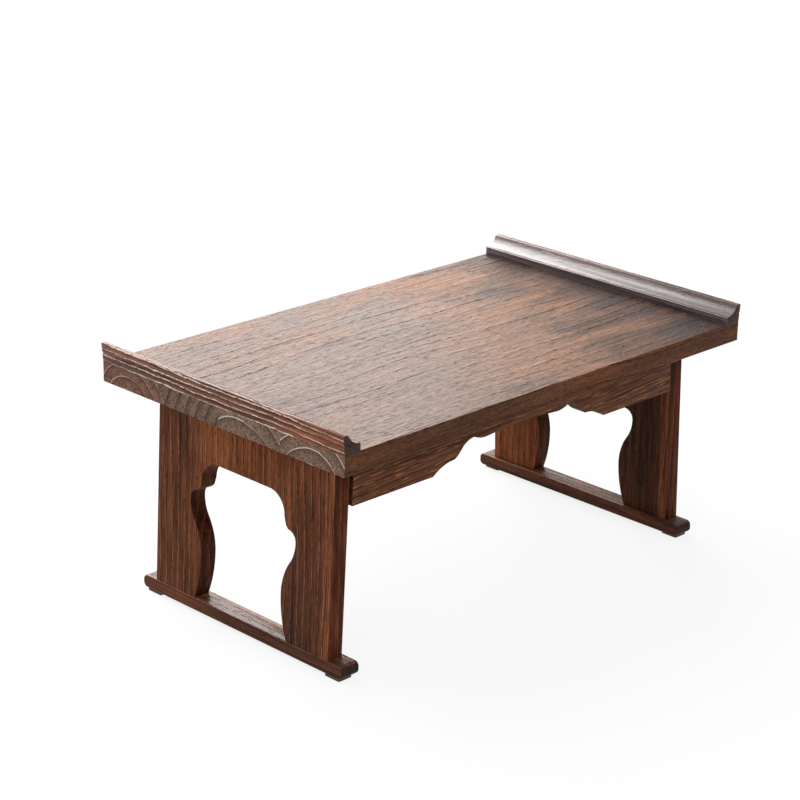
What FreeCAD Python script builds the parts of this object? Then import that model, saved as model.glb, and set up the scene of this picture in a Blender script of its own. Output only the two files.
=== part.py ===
import FreeCAD, Part
import os

import Sketcher

# A low tea table with folding end legs.
# X runs along the length, Y from front to back, Z up; the origin is on the floor under the middle.

PLANK_COUNT = 4
SIDES = {"left": -1, "right": 1}
ENDS = {"front": -1, "back": 1}

# Driving sizes, in millimetres and degrees
SIZES = {
    # overall
    "table_length": 500,
    "table_depth": 300,
    "table_height": 230,
    # top board and end mouldings
    "top_thickness": 18.5,
    "top_edge_round": 1.2,
    "moulding_height": 16.5,
    "moulding_width": 18.6,
    "moulding_overhang": 1.5,
    "moulding_seat": 1,
    "moulding_flat": 5,
    "moulding_lip": 7,
    "moulding_cove_radius": 15,
    "moulding_groove_height": 7.6,
    "moulding_groove_width": 1.6,
    "moulding_groove_depth": 1.1,
    "moulding_lean": 0.7,
    "moulding_band": 3,
    "moulding_edge_round": 0.6,
    "moulding_dowel_radius": 3,
    "moulding_dowel_rise": 6,
    "moulding_dowel_drop": 9,
    # aprons
    "apron_setback": 38,
    "apron_thickness": 15,
    "apron_end_depth": 48.5,
    "apron_end_gap": 2,
    "apron_middle_half": 42,
    "apron_middle_rise": 1.8,
    "apron_lobe_width": 18,
    "apron_lobe_drop": 3.2,
    "apron_lobe_radius": 30,
    "apron_cove_width": 15.5,
    "apron_cove_rise": 7.8,
    "apron_cove_radius": 19.6,
    "apron_nose_width": 8,
    "apron_nose_rise": 6.5,
    "apron_nose_radius": 26,
    "apron_shoulder_width": 25.5,
    "apron_shoulder_rise": 8.8,
    "apron_shoulder_radius": 42,
    "glue_block_length": 40,
    "glue_block_side": 12,
    "glue_block_spacing": 120,
    # hinge rails
    "rail_thickness": 15,
    "rail_depth": 45,
    "rail_stop_gap": 0.3,
    "rail_dowel_radius": 4,
    "rail_dowel_rise": 10,
    "rail_dowel_drop": 15,
    "corner_dowel_radius": 3,
    "corner_dowel_reach": 8,
    "corner_dowel_depth": 12,
    "corner_dowel_drop": 21,
    "corner_dowel_spacing": 10,
    # legs
    "leg_side_setback": 40,
    "leg_thickness": 16.5,
    "leg_splay": 2.4,
    "leg_foot_setback": 39.6,
    "leg_top_gap": 0.4,
    "leg_edge_round": 0.8,
    "cutout_top_half": 33,
    "cutout_corner_radius": 19,
    "cusp_width": 2.3,
    "cusp_drop": 7.5,
    "ear_width": 2.9,
    "ear_drop": 2.9,
    "ear_radius": 9.3,
    "ear_sweep_radius": 33.5,
    "waist_width": 15.7,
    "waist_drop": 49.5,
    "waist_height": 40.7,
    "cutout_foot_flare": 7.8,
    # foot bars and pads
    "bar_reach": 17,
    "bar_height": 11.5,
    "bar_outer_step": 0.7,
    "bar_inner_step": 3.3,
    "bar_end_round": 4.5,
    "bar_edge_round": 1.2,
    "pad_length": 17.5,
    "pad_width": 15,
    "pad_height": 3,
    "pad_end_inset": 4.2,
    "pad_side_inset": 1.6,
    "pad_corner_round": 1.5,
    "foot_dowel_radius": 4,
    "foot_dowel_rise": 18,
    "foot_dowel_drop": 8,
    "foot_dowel_spacing": 20,
    # hinges
    "hinge_inset": 9,
    "leaf_length": 28,
    "leaf_width": 13.2,
    "leaf_thickness": 1,
    "barrel_radius": 2.2,
    "barrel_clearance": 0.3,
    "knuckle_gap": 0.2,
    "pin_radius": 1.25,
    "pin_play": 0.05,
    "pin_head_radius": 2,
    "pin_head_height": 0.8,
    "screw_radius": 1.3,
    "screw_head_radius": 2.6,
    "screw_length": 8,
    "screw_spacing": 17,
    "screw_reach": 8.4,
}

# Levels and planes worked out from the driving sizes
TOP_FACE = "(Size.table_height - Size.moulding_height)"
UNDERSIDE = f"({TOP_FACE} - Size.top_thickness)"
HALF_DEPTH = "(Size.table_depth / 2)"
BOARD_HALF = "(Size.table_length / 2 - Size.moulding_overhang)"
PLANK_WIDTH = f"(Size.table_depth / {PLANK_COUNT})"
BAR_TOP = "(Size.pad_height + Size.bar_height)"
FOOT_HALF = "(Size.table_length / 2 - Size.leg_foot_setback)"
LEG_HALF_WIDTH = f"({HALF_DEPTH} - Size.leg_side_setback)"
LEAN = "tan(Size.leg_splay)"
LEG_LENGTH = f"(({UNDERSIDE} - {BAR_TOP}) / cos(Size.leg_splay))"
LEG_TOP_HALF = f"({FOOT_HALF} - ({UNDERSIDE} - {BAR_TOP}) * {LEAN})"
APRON_FACE = f"({HALF_DEPTH} - Size.apron_setback)"
APRON_BACK = f"({APRON_FACE} - Size.apron_thickness)"
APRON_TOP_HALF = f"({LEG_TOP_HALF} - Size.apron_end_gap)"
APRON_FOOT_HALF = f"({APRON_TOP_HALF} + Size.apron_end_depth * {LEAN})"
RAIL_FACE = f"({LEG_TOP_HALF} - Size.rail_stop_gap)"
RAIL_MIDDLE = f"({RAIL_FACE} - Size.rail_thickness / 2)"
RAIL_BOTTOM = f"({UNDERSIDE} - Size.rail_depth)"
HINGE_OFFSET = "(Size.barrel_radius + Size.barrel_clearance)"
HINGE_HALF = f"({APRON_BACK} - Size.hinge_inset - Size.leaf_length / 2)"
AXIS_HEIGHT = f"({RAIL_BOTTOM} - {HINGE_OFFSET})"
LEG_FACE = f"({LEG_TOP_HALF} + ({UNDERSIDE} - {AXIS_HEIGHT}) * {LEAN})"
AXIS_HALF = f"({LEG_FACE} - {HINGE_OFFSET} / cos(Size.leg_splay))"
LEG_FOOT_OUTER = f"({FOOT_HALF} + Size.leg_thickness / cos(Size.leg_splay))"
BAR_OUTER = f"({LEG_FOOT_OUTER} + Size.bar_outer_step)"
BAR_INNER = f"({FOOT_HALF} - Size.bar_inner_step)"
BAR_WIDTH = f"({BAR_OUTER} - {BAR_INNER})"
BAR_MIDDLE = f"(({BAR_OUTER} + {BAR_INNER}) / 2)"
BAR_HALF = f"({LEG_HALF_WIDTH} + Size.bar_reach)"
LEG_TRIM = f"(Size.leg_thickness * {LEAN})"
CORNER_HALF = "(Size.cutout_top_half + Size.cutout_corner_radius)"
CUSP_HALF = f"({CORNER_HALF} + Size.cusp_width)"
EAR_HALF = f"({CUSP_HALF} + Size.ear_width)"
EAR_EDGE = f"({EAR_HALF} + Size.ear_radius)"
WAIST_HALF = f"({EAR_EDGE} - Size.waist_width)"
CUTOUT_FOOT_HALF = f"({WAIST_HALF} + Size.cutout_foot_flare)"
EAR_HEIGHT = "(Size.waist_height + Size.waist_drop)"
CUSP_HEIGHT = f"({EAR_HEIGHT} + Size.ear_radius + Size.ear_drop)"
CORNER_HEIGHT = f"({CUSP_HEIGHT} + Size.cusp_drop)"
CUTOUT_HEIGHT = f"({CORNER_HEIGHT} + Size.cutout_corner_radius)"
SWEEP_RADII = "((Size.waist_width^2 + Size.waist_drop^2) / (2 * Size.waist_width))"
FLARE_RADIUS = "((Size.cutout_foot_flare^2 + Size.waist_height^2) / (2 * Size.cutout_foot_flare))"
THIRD = "(Size.leaf_length / 3)"

doc = FreeCAD.newDocument("tea_table")
nodes = {}


def fill_sheet():
    """Write the driving sizes into the sheet, one named cell each."""
    sheet = doc.addObject("Spreadsheet::Sheet", "Size")
    for row, (name, number) in enumerate(SIZES.items(), start=1):
        sheet.set(f"A{row}", name)
        sheet.set(f"B{row}", str(number))
        sheet.setAlias(f"B{row}", name)
    doc.recompute()
    return sheet


sheet = fill_sheet()


def value(expression):
    """The number that an expression on the sheet stands for."""
    return float(sheet.evalExpression(str(expression)))


def bind(thing, **expressions):
    """Tie an object's properties to expressions on the sheet."""
    for name, expression in expressions.items():
        thing.setExpression(name, str(expression))
    return thing


def place(thing, x="0", y="0", z="0", axis=None, angle=None):
    """Tie an object's place, and its turn about an axis, to expressions."""
    if axis is not None:
        thing.Placement.Rotation = FreeCAD.Rotation(FreeCAD.Vector(*axis), value(angle))
        thing.setExpression("Placement.Rotation.Angle", str(angle))
    thing.setExpression("Placement.Base.x", str(x))
    thing.setExpression("Placement.Base.y", str(y))
    thing.setExpression("Placement.Base.z", str(z))
    return thing


def node(thing, name):
    """Keep an object as a finished piece under its own name."""
    thing.Label = name
    nodes[name] = thing
    return thing


def box(name, length, width, height, x, y, z):
    """A block from its lowest corner."""
    block = doc.addObject("Part::Box", name)
    bind(block, Length=length, Width=width, Height=height)
    return place(block, x, y, z)


def rod(name, radius, height, x, y, z, axis=None, angle=None):
    """A round bar, upright unless it is turned about an axis."""
    bar = doc.addObject("Part::Cylinder", name)
    bind(bar, Radius=radius, Height=height)
    return place(bar, x, y, z, axis, angle)


def group(name, members):
    """Separate solids kept together as one object."""
    together = doc.addObject("Part::Compound", name)
    together.Links = members
    return together


def fused(name, members):
    """One solid from several that overlap."""
    whole = doc.addObject("Part::MultiFuse", name)
    whole.Shapes = members
    whole.Refine = True
    return whole


def bored(name, blank, tools):
    """A blank with the holes of all its fasteners."""
    cut = doc.addObject("Part::Cut", name)
    cut.Base = blank
    cut.Tool = tools[0] if len(tools) == 1 else group(f"{name}_tools", tools)
    return cut


def plane_of(body, role):
    """One of a body's own origin planes."""
    return next(f for f in body.Origin.OriginFeatures if f.Role == role)


def arc_centre(start, end, radius, clockwise):
    """The centre of the short arc of a radius from start to end."""
    chord = end - start
    rise = max(radius ** 2 - (chord.Length / 2) ** 2, 0) ** 0.5
    across = FreeCAD.Vector(-chord.y, chord.x, 0)
    across.normalize()
    return (start + end) / 2 + across * (-rise if clockwise else rise)


def draw(sketch, outline):
    """Draw a closed outline and tie each corner and radius to the sheet.

    A corner is (across, up) before a straight run, or (across, up, radius, clockwise) before an arc.
    """
    corners = [FreeCAD.Vector(value(c[0]), value(c[1]), 0) for c in outline]
    starts = []
    ends = []
    for i, corner in enumerate(outline):
        start, end = corners[i], corners[(i + 1) % len(corners)]
        if len(corner) == 2:
            sketch.addGeometry(Part.LineSegment(start, end), False)
            starts.append(1)
            ends.append(2)
            continue
        radius, clockwise = value(corner[2]), corner[3]
        centre = arc_centre(start, end, radius, clockwise)
        first, last = (end, start) if clockwise else (start, end)
        circle = Part.Circle(centre, FreeCAD.Vector(0, 0, 1), radius)
        sketch.addGeometry(Part.ArcOfCircle(circle, circle.parameter(first), circle.parameter(last)), False)
        starts.append(2 if clockwise else 1)
        ends.append(1 if clockwise else 2)
    for i in range(len(outline)):
        after = (i + 1) % len(outline)
        sketch.addConstraint(Sketcher.Constraint("Coincident", i, ends[i], after, starts[after]))
    for i, corner in enumerate(outline):
        for kind, axis, size in (("DistanceX", -2, corner[0]), ("DistanceY", -1, corner[1])):
            if str(size) == "0":
                sketch.addConstraint(Sketcher.Constraint("PointOnObject", i, starts[i], axis))
                continue
            number = sketch.addConstraint(Sketcher.Constraint(kind, -1, 1, i, starts[i], value(size)))
            sketch.setExpression(f"Constraints[{number}]", str(size))
        if len(corner) == 4:
            number = sketch.addConstraint(Sketcher.Constraint("Radius", i, value(corner[2])))
            sketch.setExpression(f"Constraints[{number}]", str(corner[2]))


def profile(body, name, role, outline):
    """A sketch of an outline on one of a body's own planes."""
    sketch = body.newObject("Sketcher::SketchObject", name)
    sketch.AttachmentSupport = [(plane_of(body, role), "")]
    sketch.MapMode = "FlatFace"
    draw(sketch, outline)
    return sketch


def padded(name, role, outline, length, side_type="Symmetric", backwards=False):
    """A body that holds one padded outline."""
    body = doc.addObject("PartDesign::Body", name)
    pad = body.newObject("PartDesign::Pad", f"{name}_pad")
    pad.Profile = profile(body, f"{name}_outline", role, outline)
    pad.SideType = side_type
    pad.Reversed = backwards
    bind(pad, Length=length)
    doc.recompute()
    return body, pad


def pocketed(body, name, role, outline):
    """Cut an outline right through a body, both ways from its plane."""
    pocket = body.newObject("PartDesign::Pocket", name)
    pocket.Profile = profile(body, f"{name}_outline", role, outline)
    pocket.Type = "ThroughAll"
    pocket.SideType = "Symmetric"
    doc.recompute()
    return pocket


def mirrored(body, feature, name, role):
    """Repeat a feature on the other side of one of the body's own planes."""
    twin = body.newObject("PartDesign::Mirrored", name)
    twin.Originals = [feature]
    twin.MirrorPlane = (plane_of(body, role), [""])
    body.Tip = twin
    doc.recompute()
    return twin


def rounded(body, name, base, radius, keep):
    """Round the edges of a feature that pass a test on their two ends."""
    chosen = []
    for i, edge in enumerate(base.Shape.Edges, start=1):
        ends = [corner.Point for corner in edge.Vertexes]
        if len(ends) == 2 and keep(*ends):
            chosen.append(f"Edge{i}")
    fillet = body.newObject("PartDesign::Fillet", name)
    fillet.Base = (base, chosen)
    bind(fillet, Radius=radius)
    doc.recompute()
    return fillet


def near(a, b):
    """True where two measures agree to a hundredth."""
    return abs(a - b) < 0.01


def signed(side, expression):
    """An expression with the sign of a side."""
    return expression if side > 0 else f"-{expression}"


def plank_span(index):
    """The front and back edges of a plank, counted from the front."""
    return f"({index} * {PLANK_WIDTH} - {HALF_DEPTH})", f"({index + 1} * {PLANK_WIDTH} - {HALF_DEPTH})"


def moulding_dowels(name, side):
    """One dowel in each plank, up into the end moulding."""
    across = signed(side, "(Size.table_length / 2 - Size.moulding_width / 2)")
    foot = f"{TOP_FACE} - Size.moulding_seat - Size.moulding_dowel_drop"
    pegs = []
    for index in range(PLANK_COUNT):
        front, back = plank_span(index)
        peg = rod(f"{name}_{index + 1}", "Size.moulding_dowel_radius",
                  "Size.moulding_dowel_drop + Size.moulding_dowel_rise",
                  across, f"({front} + {back}) / 2", foot)
        pegs.append(peg)
    return node(group(name, pegs), name)


def rail_dowels(name, side):
    """One dowel from the rail up into each plank, in the middle of the stretch that lies over the rail."""
    pegs = []
    for index in range(PLANK_COUNT):
        front, back = plank_span(index)
        along = f"(max({front}; -{APRON_BACK}) + min({back}; {APRON_BACK})) / 2"
        peg = rod(f"{name}_{index + 1}", "Size.rail_dowel_radius",
                  "Size.rail_dowel_drop + Size.rail_dowel_rise",
                  signed(side, RAIL_MIDDLE), along, f"{UNDERSIDE} - Size.rail_dowel_drop")
        pegs.append(peg)
    return node(group(name, pegs), name)


def corner_dowels(name, side):
    """Two dowels at each end of a rail, out into the aprons."""
    pegs = []
    for end_name, end in ENDS.items():
        for step in range(2):
            start = APRON_BACK if end > 0 else f"-{APRON_BACK}"
            peg = rod(f"{name}_{end_name}_{step + 1}", "Size.corner_dowel_radius",
                      "Size.corner_dowel_depth + Size.corner_dowel_reach", signed(side, RAIL_MIDDLE),
                      f"{start} - {signed(end, 'Size.corner_dowel_depth')}",
                      f"{UNDERSIDE} - Size.corner_dowel_drop - {step} * Size.corner_dowel_spacing",
                      (1, 0, 0), str(-90 * end))
            pegs.append(peg)
    return node(group(name, pegs), name)


def foot_dowels(name, side):
    """Two dowels on each side of the cut-out, from the foot bar up into the leg."""
    across = signed(side, f"(({FOOT_HALF} + {LEG_FOOT_OUTER}) / 2)")
    middle = f"({LEG_HALF_WIDTH} + {CUTOUT_FOOT_HALF}) / 2"
    pegs = []
    for end_name, end in ENDS.items():
        for step in range(2):
            along = f"({middle} + ({step} - 0.5) * Size.foot_dowel_spacing)"
            peg = rod(f"{name}_{end_name}_{step + 1}", "Size.foot_dowel_radius",
                      "Size.foot_dowel_drop + Size.foot_dowel_rise", across, signed(end, along),
                      f"{BAR_TOP} - Size.foot_dowel_drop")
            pegs.append(peg)
    return node(group(name, pegs), name)


def top_plank(name, index, fasteners):
    """One glued plank of the top, with a shallow seat for the moulding at each end."""
    seat_edge = f"({BOARD_HALF} + Size.moulding_overhang - Size.moulding_width)"
    seat = "(Size.top_thickness - Size.moulding_seat)"
    outline = [
        (f"-{BOARD_HALF}", "0"), (BOARD_HALF, "0"), (BOARD_HALF, seat), (seat_edge, seat),
        (seat_edge, "Size.top_thickness"), (f"-{seat_edge}", "Size.top_thickness"),
        (f"-{seat_edge}", seat), (f"-{BOARD_HALF}", seat),
    ]
    body, pad = padded(f"{name}_blank", "XZ_Plane", outline, PLANK_WIDTH)
    edge = {0: -1, PLANK_COUNT - 1: 1}.get(index)
    if edge is not None:
        face, height = edge * value(PLANK_WIDTH) / 2, value("Size.top_thickness")

        def outer(a, b):
            level = near(a.z, b.z) and (near(a.z, 0) or near(a.z, height))
            return level and near(a.y, face) and near(b.y, face)

        rounded(body, f"{name}_round", pad, "Size.top_edge_round", outer)
    front, back = plank_span(index)
    place(body, "0", f"({front} + {back}) / 2", UNDERSIDE)
    return node(bored(name, body, fasteners), name)


def end_moulding(name, side, dowels):
    """A raised end: a flat outer edge, a cove down to a lip, and a groove along the leaning outer face."""
    base = "Size.moulding_seat"
    top = "(Size.moulding_seat + Size.moulding_height)"
    groove = "(Size.moulding_seat + Size.moulding_groove_height)"
    outline = [
        ("Size.moulding_overhang", "0"),
        ("Size.moulding_width", "0"),
        ("Size.moulding_width", f"{base} + Size.moulding_lip", "Size.moulding_cove_radius", True),
        ("Size.moulding_flat", top),
        ("0", top),
        ("0", f"{top} - Size.moulding_band"),
        ("Size.moulding_lean", f"{groove} + Size.moulding_groove_width / 2"),
        ("Size.moulding_lean + Size.moulding_groove_depth", groove),
        ("Size.moulding_lean", f"{groove} - Size.moulding_groove_width / 2"),
        ("Size.moulding_overhang", base),
    ]
    body, pad = padded(f"{name}_blank", "XZ_Plane", outline, "Size.table_depth")
    arrises = [(0, value(top)), (value("Size.moulding_flat"), value(top)),
               (value("Size.moulding_width"), value(f"{base} + Size.moulding_lip"))]

    def arris(a, b):
        along = near(a.x, b.x) and near(a.z, b.z)
        return along and any(near(a.x, x) and near(a.z, z) for x, z in arrises)

    rounded(body, f"{name}_round", pad, "Size.moulding_edge_round", arris)
    place(body, signed(side, "(Size.table_length / 2)"), "0", f"{TOP_FACE} - Size.moulding_seat",
          (0, 0, 1), "180" if side > 0 else "0")
    return node(bored(name, body, [dowels]), name)


def apron(name, end, dowels):
    """A scalloped board between the legs: half of it is drawn and mirrored."""
    depth = "Size.apron_end_depth"
    lobe = "Size.apron_middle_half"
    notch = f"{lobe} + Size.apron_lobe_width"
    nose = f"{notch} + Size.apron_cove_width"
    step = f"{nose} + Size.apron_nose_width"
    shoulder = f"{step} + Size.apron_shoulder_width"
    step_up = "Size.apron_shoulder_rise"
    nose_up = f"{step_up} + Size.apron_nose_rise"
    notch_up = f"{nose_up} + Size.apron_cove_rise"
    lobe_up = f"{notch_up} - Size.apron_lobe_drop"
    middle_up = f"{lobe_up} + Size.apron_middle_rise"
    arch = f"({lobe}^2 + Size.apron_middle_rise^2) / (2 * Size.apron_middle_rise)"
    outline = [
        ("0", middle_up, arch, True),
        (lobe, lobe_up, "Size.apron_lobe_radius", False),
        (notch, notch_up, "Size.apron_cove_radius", True),
        (nose, nose_up, "Size.apron_nose_radius", False),
        (step, step_up, "Size.apron_shoulder_radius", True),
        (shoulder, "0"),
        (APRON_FOOT_HALF, "0"),
        (APRON_TOP_HALF, depth),
        ("0", depth),
    ]
    body, pad = padded(f"{name}_blank", "XZ_Plane", outline, "Size.apron_thickness")
    mirrored(body, pad, f"{name}_twin", "YZ_Plane")
    place(body, "0", signed(end, f"({APRON_FACE} - Size.apron_thickness / 2)"), f"{UNDERSIDE} - {depth}")
    return node(bored(name, body, dowels), name)


def glue_blocks(name, end):
    """Three blocks in the corner between an apron and the underside of the top."""
    start = f"{APRON_BACK} - Size.glue_block_side" if end > 0 else f"-{APRON_BACK}"
    blocks = []
    for step in (-1, 0, 1):
        block = box(f"{name}_{step + 2}",
                    "Size.glue_block_length", "Size.glue_block_side", "Size.glue_block_side",
                    f"{step} * Size.glue_block_spacing - Size.glue_block_length / 2", start,
                    f"{UNDERSIDE} - Size.glue_block_side")
        blocks.append(block)
    return node(group(name, blocks), name)


def hinge_rail(name, side, fasteners):
    """A cross rail between the aprons: the stop for the leg above its hinge line."""
    start = f"{RAIL_FACE} - Size.rail_thickness" if side > 0 else f"-{RAIL_FACE}"
    blank = box(f"{name}_blank", "Size.rail_thickness", f"2 * {APRON_BACK}", "Size.rail_depth",
                start, f"-{APRON_BACK}", RAIL_BOTTOM)
    return node(bored(name, blank, fasteners), name)


def leg_panel(name, side, fasteners):
    """One leaning board with the cut-out, its ends cut level."""
    board = [
        (f"-{LEG_HALF_WIDTH}", f"-{LEG_TRIM}"), (LEG_HALF_WIDTH, f"-{LEG_TRIM}"),
        (LEG_HALF_WIDTH, LEG_LENGTH), (f"-{LEG_HALF_WIDTH}", LEG_LENGTH),
    ]
    body, pad = padded(f"{name}_blank", "YZ_Plane", board, "Size.leg_thickness", "One side", side < 0)
    edge = value(LEG_HALF_WIDTH)
    blank = rounded(body, f"{name}_round", pad, "Size.leg_edge_round",
                    lambda a, b: near(abs(a.y), edge) and near(a.y, b.y) and near(a.x, b.x))
    turn = f"{SWEEP_RADII} - Size.ear_sweep_radius"
    share = f"Size.ear_sweep_radius / {SWEEP_RADII}"
    cutout = [
        ("0", f"-{LEG_TRIM}"),
        (CUTOUT_FOOT_HALF, f"-{LEG_TRIM}"),
        (CUTOUT_FOOT_HALF, "0", FLARE_RADIUS, True),
        (WAIST_HALF, "Size.waist_height", turn, True),
        (f"{EAR_EDGE} - Size.waist_width * {share}", f"{EAR_HEIGHT} - Size.waist_drop * {share}",
         "Size.ear_sweep_radius", False),
        (EAR_EDGE, EAR_HEIGHT, "Size.ear_radius", False),
        (EAR_HALF, f"{EAR_HEIGHT} + Size.ear_radius"),
        (CUSP_HALF, CUSP_HEIGHT),
        (CORNER_HALF, CORNER_HEIGHT, "Size.cutout_corner_radius", False),
        ("Size.cutout_top_half", CUTOUT_HEIGHT),
        ("0", CUTOUT_HEIGHT),
    ]
    whole = blank.Shape.Volume
    pocket = pocketed(body, f"{name}_cutout", "YZ_Plane", cutout)
    opened = mirrored(body, pocket, f"{name}_cutout_twin", "XZ_Plane")
    if not opened.Shape.Volume < pocket.Shape.Volume < whole:
        raise ValueError(f"{name}: the cut-out took nothing away")
    place(body, signed(side, FOOT_HALF), "0", BAR_TOP, (0, 1, 0), signed(-side, "Size.leg_splay"))
    level = box(f"{name}_level", "Size.table_length", "Size.table_depth",
                f"{UNDERSIDE} - {BAR_TOP} - Size.leg_top_gap",
                "-Size.table_length / 2", f"-{HALF_DEPTH}", BAR_TOP)
    trimmed = doc.addObject("Part::Common", f"{name}_trimmed")
    trimmed.Base, trimmed.Tool = body, level
    return node(bored(name, trimmed, fasteners), name)


def foot_bar(name, side, dowels):
    """A bar across the foot of a leg, with round ends."""
    outline = [
        (f"-{BAR_HALF}", "0"), (BAR_HALF, "0"),
        (BAR_HALF, "Size.bar_height"), (f"-{BAR_HALF}", "Size.bar_height"),
    ]
    body, pad = padded(f"{name}_blank", "YZ_Plane", outline, BAR_WIDTH)
    end, flank, top = value(BAR_HALF), value(BAR_WIDTH) / 2, value("Size.bar_height")
    nose = rounded(body, f"{name}_nose", pad, "Size.bar_end_round",
                   lambda a, b: near(abs(a.y), end) and near(a.y, b.y) and near(a.z, b.z))
    rounded(body, f"{name}_round", nose, "Size.bar_edge_round",
            lambda a, b: near(abs(a.x), flank) and near(a.x, b.x) and near(a.z, top) and near(b.z, top))
    place(body, signed(side, BAR_MIDDLE), "0", "Size.pad_height")
    return node(bored(name, body, [dowels]), name)


def foot_pad(name, side, end):
    """A black pad under one end of a foot bar."""
    half_x, half_y = "(Size.pad_width / 2)", "(Size.pad_length / 2)"
    outline = [(f"-{half_x}", f"-{half_y}"), (half_x, f"-{half_y}"), (half_x, half_y), (f"-{half_x}", half_y)]
    body, pad = padded(f"{name}_block", "XY_Plane", outline, "Size.pad_height", "One side")
    rounded(body, f"{name}_round", pad, "Size.pad_corner_round",
            lambda a, b: near(a.x, b.x) and near(a.y, b.y))
    place(body, signed(side, f"({BAR_OUTER} - Size.pad_side_inset - {half_x})"),
          signed(end, f"({BAR_HALF} - Size.pad_end_inset - {half_y})"), "0")
    return node(body, name)


def at_hinge(thing, side, end, angle=None):
    """Put a hinge's piece, drawn about the origin, on the hinge line."""
    axis = None if angle is None else (0, 1, 0)
    return place(thing, signed(side, AXIS_HALF), signed(end, HINGE_HALF), AXIS_HEIGHT, axis, angle)


def along_y(name, radius, start, length):
    """A round bar along Y from a start."""
    return rod(name, radius, length, "0", start, "0", (1, 0, 0), "-90")


def hinge_screws(name, way):
    """The two countersunk screws of a leaf, drawn about the hinge line; way is the leaf's side of it."""
    screws = []
    for step in (-1, 1):
        across = signed(way, "Size.screw_reach")
        along = f"{step} * Size.screw_spacing / 2"
        head = doc.addObject("Part::Cone", f"{name}_head_{step + 2}")
        bind(head, Radius1="Size.screw_head_radius", Radius2="Size.screw_radius",
             Height="Size.leaf_thickness")
        place(head, across, along, f"{HINGE_OFFSET} - Size.leaf_thickness")
        shank = rod(f"{name}_shank_{step + 2}", "Size.screw_radius", "Size.screw_length", across, along,
                    HINGE_OFFSET)
        screws.append(fused(f"{name}_screw_{step + 2}", [head, shank]))
    return group(name, screws)


def hinge_leaf(name, way, knuckles, bore, screws):
    """A leaf drawn about the hinge line: a plate against the wood and its knuckles around the pin."""
    start = "(Size.barrel_radius + Size.knuckle_gap)"
    depth = f"{HINGE_OFFSET} - Size.leaf_thickness"
    length = f"(Size.leaf_width - {start})"
    plate = box(f"{name}_plate", length, "Size.leaf_length", "Size.leaf_thickness",
                start if way > 0 else "-Size.leaf_width", "-Size.leaf_length / 2", depth)
    pieces = [plate]
    for i, (low, high) in enumerate(knuckles, start=1):
        tongue = box(f"{name}_tongue_{i}", start, f"{high} - {low}", "Size.leaf_thickness",
                     "0" if way > 0 else f"-{start}", low, depth)
        pieces += [tongue, along_y(f"{name}_knuckle_{i}", "Size.barrel_radius", low, f"{high} - {low}")]
    hole = along_y(f"{name}_hole", bore, "-Size.leaf_length", "2 * Size.leaf_length")
    return bored(name, fused(f"{name}_blank", pieces), [hole, screws])


def hinge_pin(name, side, end):
    """A pin with a small head at each end."""
    reach = "(Size.leaf_length / 2 + Size.knuckle_gap)"
    pieces = [
        along_y(f"{name}_shaft", "Size.pin_radius", f"-{reach}", f"2 * {reach}"),
        along_y(f"{name}_front_head", "Size.pin_head_radius", f"-{reach} - Size.pin_head_height",
                "Size.pin_head_height"),
        along_y(f"{name}_back_head", "Size.pin_head_radius", reach, "Size.pin_head_height"),
    ]
    return node(at_hinge(fused(name, pieces), side, end), name)


def hinge(side_name, side, end_name, end):
    """One butt hinge between a rail and its leg; returns its screws on the rail side and on the leg side."""
    prefix = f"{side_name}_{end_name}_hinge"
    middle = [(f"(-{THIRD} / 2 + Size.knuckle_gap / 2)", f"({THIRD} / 2 - Size.knuckle_gap / 2)")]
    outer = [("(-Size.leaf_length / 2)", f"(-{THIRD} / 2 - Size.knuckle_gap / 2)"),
             (f"({THIRD} / 2 + Size.knuckle_gap / 2)", "(Size.leaf_length / 2)")]
    tilt = signed(side, "(90 - Size.leg_splay)")
    placed = []
    for part, way, knuckles, bore, angle in (
        ("rail", -side, middle, "Size.pin_radius", None),
        ("leg", side, outer, "Size.pin_radius + Size.pin_play", tilt),
    ):
        name = f"{prefix}_{part}_leaf"
        screws = hinge_screws(f"{name}_screws", way)
        node(at_hinge(hinge_leaf(name, way, knuckles, bore, screws), side, end, angle), name)
        placed.append(at_hinge(group(f"{name}_screws_placed", [screws]), side, end, angle))
    hinge_pin(f"{prefix}_pin", side, end)
    return placed


def build():
    """Make every piece, fasteners first, because they bore the wood."""
    moulding_pegs, rail_pegs, corner_pegs = {}, {}, {}
    for side_name, side in SIDES.items():
        moulding_pegs[side_name] = moulding_dowels(f"{side_name}_moulding_dowels", side)
        rail_pegs[side_name] = rail_dowels(f"{side_name}_rail_dowels", side)
        corner_pegs[side_name] = corner_dowels(f"{side_name}_corner_dowels", side)
        end_moulding(f"{side_name}_end_moulding", side, moulding_pegs[side_name])
    for index in range(PLANK_COUNT):
        top_plank(f"top_plank_{index + 1}", index, [*moulding_pegs.values(), *rail_pegs.values()])
    for end_name, end in ENDS.items():
        apron(f"{end_name}_apron", end, list(corner_pegs.values()))
        glue_blocks(f"{end_name}_glue_blocks", end)
    for side_name, side in SIDES.items():
        screws = [hinge(side_name, side, end_name, end) for end_name, end in ENDS.items()]
        rail_screws = group(f"{side_name}_rail_hinge_screws", [pair[0] for pair in screws])
        leg_screws = group(f"{side_name}_leg_hinge_screws", [pair[1] for pair in screws])
        node(rail_screws, f"{side_name}_rail_hinge_screws")
        node(leg_screws, f"{side_name}_leg_hinge_screws")
        pegs = foot_dowels(f"{side_name}_foot_dowels", side)
        hinge_rail(f"{side_name}_hinge_rail", side,
                   [rail_pegs[side_name], corner_pegs[side_name], rail_screws])
        leg_panel(f"{side_name}_leg_panel", side, [pegs, leg_screws])
        foot_bar(f"{side_name}_foot_bar", side, pegs)
        for end_name, end in ENDS.items():
            foot_pad(f"{side_name}_{end_name}_foot_pad", side, end)


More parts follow.
